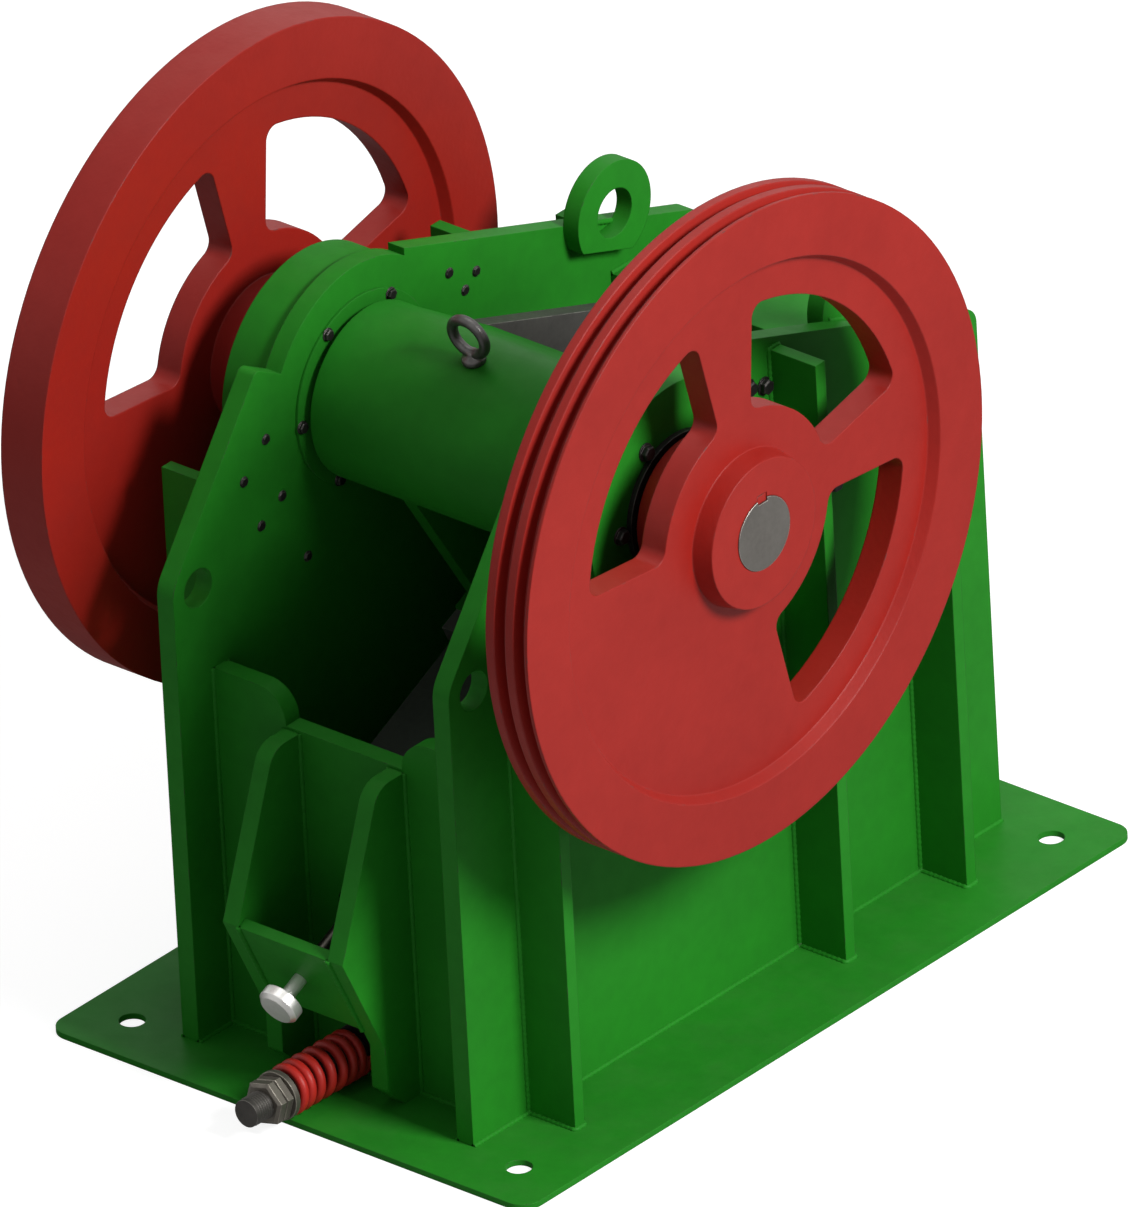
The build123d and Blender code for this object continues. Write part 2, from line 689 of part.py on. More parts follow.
spring_start = rod_reach(wall_start) + washer_thick + spring_wire_r + 1.2
spring_height = spring_turns * spring_pitch
coil_turns = [step / spring_steps for step in range(int(spring_turns * spring_steps) + 1)]
with BuildPart() as spring:
    with BuildLine() as coil:
        Polyline(*[rod_plane.from_local_coords(
            Vector(spring_r * math.cos(math.tau * turn), spring_r * math.sin(math.tau * turn),
                   spring_start + spring_pitch * turn)) for turn in coil_turns])
    with BuildSketch(Plane(origin=coil.line @ 0, z_dir=coil.line % 0)):
        RegularPolygon(spring_wire_r, 8)
    sweep(path=coil.line, transition=Transition.RIGHT)
spring.part.label = "tension_spring"
export_step(spring.part, "parts/tension_spring.step")

washer_start = spring_start + spring_height + spring_wire_r + seat_gap
with BuildPart() as washer:
    with BuildSketch(rod_plane.offset(washer_start)):
        RegularPolygon(washer_r, washer_sides)
        RegularPolygon(rod_r + seat_gap, washer_sides, major_radius=False, mode=Mode.SUBTRACT)
    extrude(amount=washer_thick)
washer.part.label = "spring_washer"
export_step(washer.part, "parts/spring_washer.step")

for number in (1, 2):
    nut_start = washer_start + washer_thick + (number - 1) * nut_thick
    with BuildPart() as nut:
        with BuildSketch(rod_plane.offset(nut_start)):
            RegularPolygon(nut_flats / 2, 6, major_radius=False)
            RegularPolygon(rod_r + seat_gap, washer_sides, major_radius=False,
                           mode=Mode.SUBTRACT)
        extrude(amount=nut_thick)
    nut.part.label = f"rod_nut_{number}"
    export_step(nut.part, f"parts/rod_nut_{number}.step")

# Eccentric shaft: hub seats, journals and the throw, with a keyway at each end
with BuildPart() as shaft:
    with BuildSketch(Plane.YZ):
        with Locations((shaft_y, shaft_z)):
            Circle(hub_seat_r)
    extrude(amount=shaft_half, both=True)
    with BuildSketch(Plane.YZ):
        with Locations((shaft_y, shaft_z)):
            Circle(journal_r)
    extrude(amount=plate_outer_x + housing_depth + cover_thick, both=True)
    with BuildSketch(Plane.YZ):
        with Locations((shaft_y, shaft_z + throw_offset)):
            Circle(throw_r)
    extrude(amount=throw_half, both=True)
    for side, sign in sides:
        with Locations((sign * (shaft_half - key_run / 2), shaft_y,
                        shaft_z + hub_seat_r)):
            Box(key_run, key_width, key_height, mode=Mode.SUBTRACT)
shaft.part.label = "eccentric_shaft"
export_step(shaft.part, "parts/eccentric_shaft.step")

rim_outer_x = rim_inner_x + rim_width
rim_step_r = wheel_r - rim_depth
window_outer_r = rim_step_r - window_margin
hub_outer_x = rim_outer_x + hub_proud
web_inner_x = rim_inner_x + (rim_width - web_thick) / 2
web_outer_x = web_inner_x + web_thick
groove_places = [rim_inner_x + rim_width * share for share in groove_shares]
for side, sign in sides:
    # Flywheel: hub, web and rim in one casting, with three windows and a solid quarter; the
    # right one carries the belt grooves
    tread = [(rim_outer_x, wheel_r)]
    if side == "right":
        for place in reversed(groove_places):
            tread += [(place + groove_width / 2, wheel_r),
                      (place + groove_root / 2, wheel_r - groove_depth),
                      (place - groove_root / 2, wheel_r - groove_depth),
                      (place - groove_width / 2, wheel_r)]
    tread.append((rim_inner_x, wheel_r))
    profile = [(hub_inner_x, hub_seat_r + seat_gap), (hub_outer_x, hub_seat_r + seat_gap),
               (hub_outer_x, hub_r), (web_outer_x, hub_r + 4), (web_outer_x, rim_step_r - 6),
               (rim_outer_x, rim_step_r)] + tread + [(rim_inner_x, rim_step_r),
               (web_inner_x, rim_step_r - 6), (web_inner_x, hub_r), (hub_inner_x, hub_r - 4)]
    with BuildPart() as wheel:
        with BuildSketch(Plane.XY.offset(shaft_z)):
            with BuildLine():
                Polyline(*[(sign * x, shaft_y + r) for x, r in profile], close=True)
            make_face()
        revolve(axis=shaft_axis)
        with BuildSketch(Plane(origin=(sign * rim_inner_x, shaft_y, shaft_z),
                               x_dir=(0, 1, 0), z_dir=(1, 0, 0))) as windows:
            for quarter in (0, 90, -90):
                first, last = spoke_angle + quarter, spoke_angle + quarter + 90
                inner = math.degrees(math.asin(spoke_inner / 2 / window_inner_r))
                outer = math.degrees(math.asin(spoke_outer / 2 / window_outer_r))
                with BuildLine():
                    near = CenterArc((0, 0), window_inner_r, first + inner,
                                     last - first - 2 * inner)
                    far = CenterArc((0, 0), window_outer_r, first + outer,
                                    last - first - 2 * outer)
                    Line(near @ 0, far @ 0)
                    Line(near @ 1, far @ 1)
                make_face()
            fillet(windows.vertices(), window_corner_r)
        extrude(amount=sign * rim_width, mode=Mode.SUBTRACT)
        with Locations((sign * (hub_inner_x + hub_outer_x) / 2, shaft_y, shaft_z + hub_seat_r)):
            Box(hub_outer_x - hub_inner_x, key_width, key_height, mode=Mode.SUBTRACT)
    wheel.part.label = f"{side}_flywheel"
    export_step(wheel.part, f"parts/{side}_flywheel.step")
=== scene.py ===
import json
import math

import bmesh
import bpy
from mathutils import Matrix, Vector


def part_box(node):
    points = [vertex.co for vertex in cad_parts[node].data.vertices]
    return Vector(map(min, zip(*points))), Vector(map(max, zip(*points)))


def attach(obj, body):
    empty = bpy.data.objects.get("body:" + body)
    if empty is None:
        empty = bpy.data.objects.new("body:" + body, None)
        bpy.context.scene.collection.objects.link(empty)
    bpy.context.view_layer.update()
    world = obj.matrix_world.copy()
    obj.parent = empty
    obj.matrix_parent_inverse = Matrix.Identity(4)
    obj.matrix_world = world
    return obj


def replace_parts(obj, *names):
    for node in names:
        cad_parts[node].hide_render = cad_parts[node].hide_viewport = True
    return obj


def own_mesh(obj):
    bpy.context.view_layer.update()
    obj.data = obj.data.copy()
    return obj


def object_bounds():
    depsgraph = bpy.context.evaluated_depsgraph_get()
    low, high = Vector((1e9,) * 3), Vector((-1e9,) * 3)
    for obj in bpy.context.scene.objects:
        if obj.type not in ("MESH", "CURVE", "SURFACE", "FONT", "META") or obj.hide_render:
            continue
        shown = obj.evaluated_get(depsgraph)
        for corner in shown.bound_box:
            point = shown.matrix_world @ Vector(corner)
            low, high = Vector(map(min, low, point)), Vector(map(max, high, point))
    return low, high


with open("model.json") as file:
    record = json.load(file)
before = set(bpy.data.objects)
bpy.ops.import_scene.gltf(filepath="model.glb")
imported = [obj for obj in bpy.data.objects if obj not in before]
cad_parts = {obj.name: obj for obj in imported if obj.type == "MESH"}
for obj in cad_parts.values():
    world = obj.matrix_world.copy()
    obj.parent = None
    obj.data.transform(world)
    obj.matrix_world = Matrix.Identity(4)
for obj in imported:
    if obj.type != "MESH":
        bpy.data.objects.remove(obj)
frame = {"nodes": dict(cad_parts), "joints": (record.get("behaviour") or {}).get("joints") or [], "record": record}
nodes = frame["nodes"]
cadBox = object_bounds()
print("frame loaded, nodes:", len(nodes))


# Places read from the frame

shaftJoint = next(j for j in frame["joints"] if j["name"] == "shaft_spin")
shaftAt = Vector(shaftJoint["pos_m"])
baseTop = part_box("base_plate")[1].z
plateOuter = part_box("right_side_plate")[1].x
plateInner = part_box("right_side_plate")[0].x
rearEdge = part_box("base_plate")[0].y
sides = (("left", -1), ("right", 1))


# Camera

cameraSettings = {
    "azimuth": 41.966,
    "elevation": 28.847,
    "roll": -3.12,
    "aim": (0.02407, -0.04173, 0.38520),
    "distance": 49.1113,
    "lens": 1550.95,
}


def addCamera(settings):
    turn, rise, roll = (math.radians(settings[k]) for k in ("azimuth", "elevation", "roll"))
    back = Vector((math.sin(turn) * math.cos(rise), -math.cos(turn) * math.cos(rise),
                   math.sin(rise)))
    level = Vector((math.cos(turn), math.sin(turn), 0))
    upright = back.cross(level)
    right = level * math.cos(roll) + upright * math.sin(roll)
    up = upright * math.cos(roll) - level * math.sin(roll)
    data = bpy.data.cameras.new("photoCamera")
    data.lens = settings["lens"]
    data.clip_end = 2 * settings["distance"]
    camera = bpy.data.objects.new("photoCamera", data)
    place = Matrix((right, up, back)).transposed().to_4x4()
    place.translation = Vector(settings["aim"]) + back * settings["distance"]
    camera.matrix_world = place
    bpy.context.collection.objects.link(camera)
    bpy.context.scene.camera = camera


addCamera(cameraSettings)
print("camera placed")


# Shader groups

groupSettings = {
    "edgeWear": {"samples": 6, "edgeGain": 8.0, "patchLevel": 0.85, "patchGain": 9.0,
                 "patchDetail": 6.0, "patchRoughness": 0.65},
    "mottle": {"broadDetail": 4.0, "broadRoughness": 0.55, "fineDetail": 5.0,
               "fineRoughness": 0.6, "range": (0.3, 0.7)},
    "dust": {"level": (0.75, 1.0), "patch": (0.42, 0.75), "detail": 7.0, "roughness": 0.7},
    "grain": {"detail": 3.0, "roughness": 0.5, "pitShare": 0.35, "pitReach": 0.35},
}


def newGroup(name, inputs, outputs):
    tree = bpy.data.node_groups.new(name, "ShaderNodeTree")
    for label, kind, value in inputs:
        socket = tree.interface.new_socket(label, in_out="INPUT", socket_type=kind)
        socket.default_value = value
    for label, kind in outputs:
        tree.interface.new_socket(label, in_out="OUTPUT", socket_type=kind)
    return tree, tree.nodes.new("NodeGroupInput"), tree.nodes.new("NodeGroupOutput")


# Values that aren't inputs of the node are set as its properties
def addNode(tree, kind, values=None, **links):
    node = tree.nodes.new(kind)
    for key, value in (values or {}).items():
        if key in node.inputs:
            node.inputs[key].default_value = value
        else:
            setattr(node, key, value)
    for key, socket in links.items():
        tree.links.new(socket, node.inputs[key.replace("_", " ")])
    return node


def addMath(tree, operation, first, second=None, clamp=False):
    node = tree.nodes.new("ShaderNodeMath")
    node.operation = operation
    node.use_clamp = clamp
    for i, value in enumerate((first, second)):
        if value is None:
            continue
        if isinstance(value, (int, float)):
            node.inputs[i].default_value = value
        else:
            tree.links.new(value, node.inputs[i])
    return node.outputs[0]


# Stretches the part of a value between two limits to 0 and 1
def mapRange(tree, value, limits):
    low, high = limits
    return addNode(tree, "ShaderNodeMapRange", {"From Min": low, "From Max": high},
                   Value=value).outputs[0]


# Inputs 6 and 7 of a Mix node are its colours, and 2 and 3 its plain values
def mixColour(tree, factor, first, second):
    node = tree.nodes.new("ShaderNodeMix")
    node.data_type = "RGBA"
    tree.links.new(factor, node.inputs[0])
    for i, value in ((6, first), (7, second)):
        if isinstance(value, tuple):
            node.inputs[i].default_value = value + (1.0,)
        else:
            tree.links.new(value, node.inputs[i])
    return node.outputs[2]


def mixValue(tree, factor, first, second):
    node = tree.nodes.new("ShaderNodeMix")
    tree.links.new(factor, node.inputs[0])
    for i, value in ((2, first), (3, second)):
        if isinstance(value, float):
            node.inputs[i].default_value = value
        else:
            tree.links.new(value, node.inputs[i])
    return node.outputs[0]


# Bare metal where a bevel would turn the surface, broken into patches
def buildEdgeWear(settings):
    tree, start, end = newGroup(
        "edgeWear",
        [("Vector", "NodeSocketVector", (0, 0, 0)), ("Radius", "NodeSocketFloat", 0.002),
         ("Patch Scale", "NodeSocketFloat", 60.0), ("Amount", "NodeSocketFloat", 0.5)],
        [("Mask", "NodeSocketFloat")])
    bevel = addNode(tree, "ShaderNodeBevel", {"samples": settings["samples"]},
                    Radius=start.outputs["Radius"])
    geometry = tree.nodes.new("ShaderNodeNewGeometry")
    dot = tree.nodes.new("ShaderNodeVectorMath")
    dot.operation = "DOT_PRODUCT"
    tree.links.new(bevel.outputs[0], dot.inputs[0])
    tree.links.new(geometry.outputs["Normal"], dot.inputs[1])
    edge = addMath(tree, "SUBTRACT", 1.0, dot.outputs["Value"])
    edge = addMath(tree, "MULTIPLY", edge, settings["edgeGain"], True)
    noise = addNode(tree, "ShaderNodeTexNoise",
                    {"Detail": settings["patchDetail"], "Roughness": settings["patchRoughness"]},
                    Vector=start.outputs["Vector"], Scale=start.outputs["Patch Scale"])
    level = addMath(tree, "SUBTRACT", settings["patchLevel"], start.outputs["Amount"])
    patch = addMath(tree, "SUBTRACT", noise.outputs["Fac"], level)
    patch = addMath(tree, "MULTIPLY", patch, settings["patchGain"], True)
    tree.links.new(addMath(tree, "MULTIPLY", edge, patch, True), end.inputs["Mask"])
    return tree


# Slow and fine blotches, from 0 to 1
def buildMottle(settings):
    tree, start, end = newGroup(
        "mottle",
        [("Vector", "NodeSocketVector", (0, 0, 0)), ("Broad Scale", "NodeSocketFloat", 6.0),
         ("Fine Scale", "NodeSocketFloat", 45.0), ("Fine Share", "NodeSocketFloat", 0.35)],
        [("Value", "NodeSocketFloat")])
    broad = addNode(tree, "ShaderNodeTexNoise",
                    {"Detail": settings["broadDetail"], "Roughness": settings["broadRoughness"]},
                    Vector=start.outputs["Vector"], Scale=start.outputs["Broad Scale"])
    fine = addNode(tree, "ShaderNodeTexNoise",
                   {"Detail": settings["fineDetail"], "Roughness": settings["fineRoughness"]},
                   Vector=start.outputs["Vector"], Scale=start.outputs["Fine Scale"])
    mix = mixValue(tree, start.outputs["Fine Share"], broad.outputs["Fac"], fine.outputs["Fac"])
    tree.links.new(mapRange(tree, mix, settings["range"]), end.inputs["Value"])
    return tree


# Dust on faces that look up, thicker in some patches
def buildDust(settings):
    tree, start, end = newGroup(
        "settledDust",
        [("Vector", "NodeSocketVector", (0, 0, 0)), ("Scale", "NodeSocketFloat", 18.0),
         ("Amount", "NodeSocketFloat", 0.3)],
        [("Mask", "NodeSocketFloat")])
    geometry = tree.nodes.new("ShaderNodeNewGeometry")
    split = addNode(tree, "ShaderNodeSeparateXYZ", Vector=geometry.outputs["Normal"])
    flat = mapRange(tree, split.outputs["Z"], settings["level"])
    noise = addNode(tree, "ShaderNodeTexNoise",
                    {"Detail": settings["detail"], "Roughness": settings["roughness"]},
                    Vector=start.outputs["Vector"], Scale=start.outputs["Scale"])
    patch = mapRange(tree, noise.outputs["Fac"], settings["patch"])
    both = addMath(tree, "MULTIPLY", flat, patch, True)
    mask = addMath(tree, "MULTIPLY", both, start.outputs["Amount"], True)
    tree.links.new(mask, end.inputs["Mask"])
    return tree


# Height of a cast or sprayed surface, with small pits
def buildGrain(settings):
    tree, start, end = newGroup(
        "castGrain",
        [("Vector", "NodeSocketVector", (0, 0, 0)), ("Scale", "NodeSocketFloat", 400.0),
         ("Pits", "NodeSocketFloat", 0.3)],
        [("Height", "NodeSocketFloat")])
    noise = addNode(tree, "ShaderNodeTexNoise",
                    {"Detail": settings["detail"], "Roughness": settings["roughness"]},
                    Vector=start.outputs["Vector"], Scale=start.outputs["Scale"])
    pitScale = addMath(tree, "MULTIPLY", start.outputs["Scale"], settings["pitShare"])
    pits = addNode(tree, "ShaderNodeTexVoronoi", Vector=start.outputs["Vector"], Scale=pitScale)
    dips = mapRange(tree, pits.outputs["Distance"], (0.0, settings["pitReach"]))
    depth = addMath(tree, "MULTIPLY", addMath(tree, "SUBTRACT", 1.0, dips),
                    start.outputs["Pits"])
    tree.links.new(addMath(tree, "SUBTRACT", noise.outputs["Fac"], depth), end.inputs["Height"])
    return tree


edgeWear = buildEdgeWear(groupSettings["edgeWear"])
mottle = buildMottle(groupSettings["mottle"])
settledDust = buildDust(groupSettings["dust"])
castGrain = buildGrain(groupSettings["grain"])
print("shader groups built")


# Materials

def newMaterial(name):
    material = bpy.data.materials.new(name)
    material.use_nodes = True
    tree = material.node_tree
    return material, tree, tree.nodes["Principled BSDF"]


def objectPlace(tree):
    return tree.nodes.new("ShaderNodeTexCoord").outputs["Object"]


def placeGroup(tree, group, vector, values):
    node = tree.nodes.new("ShaderNodeGroup")
    node.node_tree = group
    tree.links.new(vector, node.inputs["Vector"])
    for key, value in values.items():
        node.inputs[key].default_value = value
    return node


# Softens the edges and adds the grain's relief
def roundEdges(tree, shader, height, settings):
    bevel = addNode(tree, "ShaderNodeBevel", {"samples": groupSettings["edgeWear"]["samples"],
                                              "Radius": settings["edgeRadius"]})
    bump = addNode(tree, "ShaderNodeBump", {"Strength": settings["grainStrength"],
                                            "Distance": settings["grainDepth"]},
                   Height=height, Normal=bevel.outputs[0])
    tree.links.new(bump.outputs[0], shader.inputs["Normal"])


bodyPaintSettings = {
    "fresh": (0.0190, 0.2350, 0.0160),
    "dull": (0.0150, 0.1720, 0.0130),
    "bare": (0.050, 0.048, 0.040),
    "dust": (0.23, 0.24, 0.17),
    "roughness": (0.42, 0.58),
    "wear": 0.30,
    "dustAmount": 0.05,
    "blotch": {"Broad Scale": 7.0, "Fine Scale": 60.0},
    "grain": {"Scale": 260.0, "Pits": 0.15},
    "grainStrength": 0.10,
    "grainDepth": 0.0006,
    "edgeRadius": 0.0016,
    "gloss": 0.10,
}

wheelPaintSettings = {
    "fresh": (0.3200, 0.0130, 0.0078),
    "dull": (0.2550, 0.0095, 0.0058),
    "bare": (0.070, 0.040, 0.035),
    "dust": (0.45, 0.20, 0.16),
    "roughness": (0.40, 0.55),
    "wear": 0.28,
    "dustAmount": 0.05,
    "blotch": {"Broad Scale": 7.0, "Fine Scale": 60.0},
    "grain": {"Scale": 210.0, "Pits": 0.45},
    "grainStrength": 0.30,
    "grainDepth": 0.0006,
    "edgeRadius": 0.0024,
    "gloss": 0.30,
}

# The spring's red is the wheel paint made brighter: painted light that makes up for the shade the spring sits in
paintedLightSpringRedSettings = wheelPaintSettings | {
    "fresh": (0.4600, 0.0200, 0.0140),
    "dull": (0.3600, 0.0140, 0.0100),
}


def makePaint(name, settings):
    material, tree, shader = newMaterial(name)
    vector = objectPlace(tree)
    blotch = placeGroup(tree, mottle, vector, settings["blotch"])
    worn = placeGroup(tree, edgeWear, vector,
                      {"Radius": settings["edgeRadius"], "Amount": settings["wear"]})
    dust = placeGroup(tree, settledDust, vector, {"Amount": settings["dustAmount"]})
    grain = placeGroup(tree, castGrain, vector, settings["grain"])
    paint = mixColour(tree, blotch.outputs[0], settings["dull"], settings["fresh"])
    dusty = mixColour(tree, dust.outputs[0], paint, settings["dust"])
    colour = mixColour(tree, worn.outputs[0], dusty, settings["bare"])
    tree.links.new(colour, shader.inputs["Base Color"])
    smooth, rough = settings["roughness"]
    tree.links.new(mixValue(tree, blotch.outputs[0], rough, smooth), shader.inputs["Roughness"])
    shader.inputs["Specular IOR Level"].default_value = settings["gloss"]
    roundEdges(tree, shader, grain.outputs[0], settings)
    return material


bareSettings = {
    "blotch": {"Broad Scale": 22.0, "Fine Scale": 160.0},
    "wear": 0.45,
    "wornGain": 2.2,
    "edgeRadius": 0.0012,
    "grainStrength": 0.15,
    "grainDepth": 0.0004,
}

steelSettings = {
    "machinedSteel": {"pale": (0.23, 0.215, 0.195), "deep": (0.15, 0.14, 0.125),
                      "roughness": (0.32, 0.5), "metal": 0.85, "grain": 900.0, "pits": 0.05},
    "linerSteel": {"pale": (0.115, 0.112, 0.101), "deep": (0.068, 0.066, 0.060),
                   "roughness": (0.50, 0.70), "metal": 0.35, "grain": 260.0, "pits": 0.5},
    "darkSteel": {"pale": (0.050, 0.046, 0.044), "deep": (0.022, 0.020, 0.020),
                  "roughness": (0.35, 0.55), "metal": 0.8, "grain": 500.0, "pits": 0.2},
    # The rod's steel is a darker copy of the machined steel: painted shade that matches the rod's end, which faces
    # away from the light
    "rodShadedSteel": {"pale": (0.090, 0.084, 0.076), "deep": (0.045, 0.042, 0.038),
                 "roughness": (0.40, 0.60), "metal": 0.8, "grain": 700.0, "pits": 0.2},
    "platedBolt": {"pale": (0.80, 0.79, 0.76), "deep": (0.60, 0.59, 0.56),
                   "roughness": (0.28, 0.42), "metal": 0.75, "grain": 800.0, "pits": 0.1},
    "greasedBolt": {"pale": (0.070, 0.062, 0.050), "deep": (0.030, 0.027, 0.022),
                    "roughness": (0.35, 0.55), "metal": 0.6, "grain": 500.0, "pits": 0.2},
    "nutSteel": {"pale": (0.170, 0.155, 0.130), "deep": (0.085, 0.075, 0.062),
                 "roughness": (0.40, 0.60), "metal": 0.7, "grain": 600.0, "pits": 0.2},
    "ringSteel": {"pale": (0.135, 0.130, 0.126), "deep": (0.045, 0.041, 0.040),
                  "roughness": (0.30, 0.48), "metal": 0.8, "grain": 600.0, "pits": 0.1},
    # The toggle plate's near-black green is painted shade, matching the shade inside the frame around it
    "toggleShadeDark": {"pale": (0.034, 0.040, 0.031), "deep": (0.018, 0.023, 0.017),
                   "roughness": (0.55, 0.75), "metal": 0.1, "grain": 240.0, "pits": 0.5},
}


def makeSteel(name, settings):
    material, tree, shader = newMaterial(name)
    vector = objectPlace(tree)
    blotch = placeGroup(tree, mottle, vector, bareSettings["blotch"])
    worn = placeGroup(tree, edgeWear, vector,
                      {"Radius": bareSettings["edgeRadius"], "Amount": bareSettings["wear"]})
    grain = placeGroup(tree, castGrain, vector,
                       {"Scale": settings["grain"], "Pits": settings["pits"]})
    steel = mixColour(tree, blotch.outputs[0], settings["deep"], settings["pale"])
    bright = tuple(min(1.0, v * bareSettings["wornGain"]) for v in settings["pale"])
    tree.links.new(mixColour(tree, worn.outputs[0], steel, bright), shader.inputs["Base Color"])
    smooth, rough = settings["roughness"]
    tree.links.new(mixValue(tree, blotch.outputs[0], rough, smooth), shader.inputs["Roughness"])
    shader.inputs["Metallic"].default_value = settings["metal"]
    roundEdges(tree, shader, grain.outputs[0], bareSettings)
    return material


greaseSettings = {"start": 0.038, "fade": 0.002, "wander": 0.004,
                  "ragged": {"Broad Scale": 60.0, "Fine Scale": 300.0}}


# Plated steel in front of a plane across Y, and greased steel behind it
def greaseBehind(material, steel, settings):
    tree = material.node_tree
    shader = tree.nodes["Principled BSDF"]
    vector = objectPlace(tree)
    split = addNode(tree, "ShaderNodeSeparateXYZ", Vector=vector)
    ragged = placeGroup(tree, mottle, vector, settings["ragged"])
    reach = addMath(tree, "ADD", split.outputs["Y"],
                    addMath(tree, "MULTIPLY", ragged.outputs[0], settings["wander"]))
    alongY = rearEdge + settings["start"]
    behind = mapRange(tree, reach, (alongY, alongY + settings["fade"]))
    clean = shader.inputs["Base Color"].links[0].from_socket
    grease = mixColour(tree, ragged.outputs[0], steel["deep"], steel["pale"])
    tree.links.new(mixColour(tree, behind, clean, grease), shader.inputs["Base Color"])


# Four finishes aren't slots of their own: the rod's, the nuts', the lifting eye's and the spring's; the rod's
# darker steel holds painted shade, and the spring's brighter red holds painted light
finishes = {"body_paint": makePaint("bodyPaint", bodyPaintSettings),
            "wheel_paint": makePaint("wheelPaint", wheelPaintSettings),
            "painted_light_spring_red": makePaint("paintedLightSpringRed", paintedLightSpringRedSettings)}
for finishName, steelName in (("machined_steel", "machinedSteel"), ("liner_steel", "linerSteel"),
                              ("dark_steel", "darkSteel"), ("plated_bolt", "platedBolt"),
                              ("cast_toggle", "toggleShadeDark"), ("rod_shaded_steel", "rodShadedSteel"),
                              ("nut_steel", "nutSteel"), ("ring_steel", "ringSteel")):
    finishes[finishName] = makeSteel(steelName, steelSettings[steelName])
greaseBehind(finishes["plated_bolt"], steelSettings["greasedBolt"], greaseSettings)
print("materials made:", len(finishes))


# The rod and its pin take the darker steel with painted shade
otherFinish = {"tension_rod": "rod_shaded_steel", "rod_pin": "rod_shaded_steel", "spring_washer": "nut_steel"}
shadeSettings = {"mergeDistance": 0.00001, "sharpAngle": 25}


# Every CAD node gets its finish, and smooth shading on its round faces
def dressNodes(settings):
    for entry in frame["record"]["subparts"]:
        node = nodes[entry["node"]]
        node.data.materials.clear()
        finish = otherFinish.get(entry["node"], entry["material_slot"])
        node.data.materials.append(finishes[finish])
        node.data.shade_smooth()
        weld = node.modifiers.new("joinFacets", "WELD")
        weld.merge_threshold = settings["mergeDistance"]
        split = node.modifiers.new("keepEdges", "EDGE_SPLIT")
        split.split_angle = math.radians(settings["sharpAngle"])


dressNodes(shadeSettings)
print("CAD nodes dressed")


# Small pieces grown with Geometry Nodes

def newGrowTree(name, inputs):
    tree = bpy.data.node_groups.new(name, "GeometryNodeTree")
    tree.interface.new_socket("Geometry", in_out="INPUT", socket_type="NodeSocketGeometry")
    for label, kind, value in inputs:
        tree.interface.new_socket(label, in_out="INPUT", socket_type=kind).default_value = value
    tree.interface.new_socket("Finish", in_out="INPUT", socket_type="NodeSocketMaterial")
    tree.interface.new_socket("Geometry", in_out="OUTPUT", socket_type="NodeSocketGeometry")
    return tree, tree.nodes.new("NodeGroupInput").outputs


def endGrowTree(tree, start, geometry, smooth):
    shade = addNode(tree, "GeometryNodeSetShadeSmooth", {"Shade Smooth": smooth},
                    Geometry=geometry)
    real = addNode(tree, "GeometryNodeRealizeInstances", Geometry=shade.outputs[0])
    finish = addNode(tree, "GeometryNodeSetMaterial", Geometry=real.outputs[0],
                     Material=start["Finish"])
    tree.links.new(finish.outputs[0], tree.nodes.new("NodeGroupOutput").inputs[0])
    return tree


def liftBy(tree, geometry, height):
    lift = tree.nodes.new("ShaderNodeCombineXYZ")
    tree.links.new(height, lift.inputs["Z"])
    return addNode(tree, "GeometryNodeTransform", Geometry=geometry,
                   Translation=lift.outputs[0]).outputs[0]


# A hex head's shoulder and crown top as shares of its height and radius, and its washer's sides
headShape = {"shoulder": 0.8, "crownTop": 0.84, "washerSides": 20}


# Hex heads with a chamfered crown and a washer, one on each point of the seed
def buildBoltHeads():
    tree, start = newGrowTree("boltHeads", [
        ("Head Radius", "NodeSocketFloat", 0.008), ("Head Height", "NodeSocketFloat", 0.006),
        ("Washer Radius", "NodeSocketFloat", 0.010), ("Washer Height", "NodeSocketFloat", 0.002),
        ("Seed", "NodeSocketInt", 1)])
    washer = addNode(tree, "GeometryNodeMeshCylinder", {"Vertices": headShape["washerSides"]},
                     Radius=start["Washer Radius"], Depth=start["Washer Height"])
    washerUp = liftBy(tree, washer.outputs[0],
                      addMath(tree, "MULTIPLY", start["Washer Height"], 0.5))
    shoulder = addMath(tree, "MULTIPLY", start["Head Height"], headShape["shoulder"])
    head = addNode(tree, "GeometryNodeMeshCylinder", {"Vertices": 6}, Radius=start["Head Radius"],
                   Depth=shoulder)
    headUp = liftBy(tree, head.outputs[0], addMath(
        tree, "ADD", start["Washer Height"], addMath(tree, "MULTIPLY", shoulder, 0.5)))
    crown = addNode(tree, "GeometryNodeMeshCone", {"Vertices": 6},
                    Radius_Bottom=start["Head Radius"],
                    Radius_Top=addMath(tree, "MULTIPLY", start["Head Radius"],
                                       headShape["crownTop"]),
                    Depth=addMath(tree, "MULTIPLY", start["Head Height"],
                                  1.0 - headShape["shoulder"]))
    crownUp = liftBy(tree, crown.outputs[0], addMath(tree, "ADD", start["Washer Height"], shoulder))
    join = tree.nodes.new("GeometryNodeJoinGeometry")
    for part in (crownUp, headUp, washerUp):
        tree.links.new(part, join.inputs[0])
    turn = addNode(tree, "FunctionNodeRandomValue")
    turn.inputs[3].default_value = math.tau / 6  # the top of its range, whose value is output 1
    tree.links.new(start["Seed"], turn.inputs["Seed"])
    spin = tree.nodes.new("ShaderNodeCombineXYZ")
    tree.links.new(turn.outputs[1], spin.inputs["Z"])
    heads = addNode(tree, "GeometryNodeInstanceOnPoints", Points=start["Geometry"],
                    Instance=join.outputs[0], Rotation=spin.outputs[0])
    return endGrowTree(tree, start, heads.outputs[0], False)


beadSteps = 3.0  # steps of a weld bead in one ripple


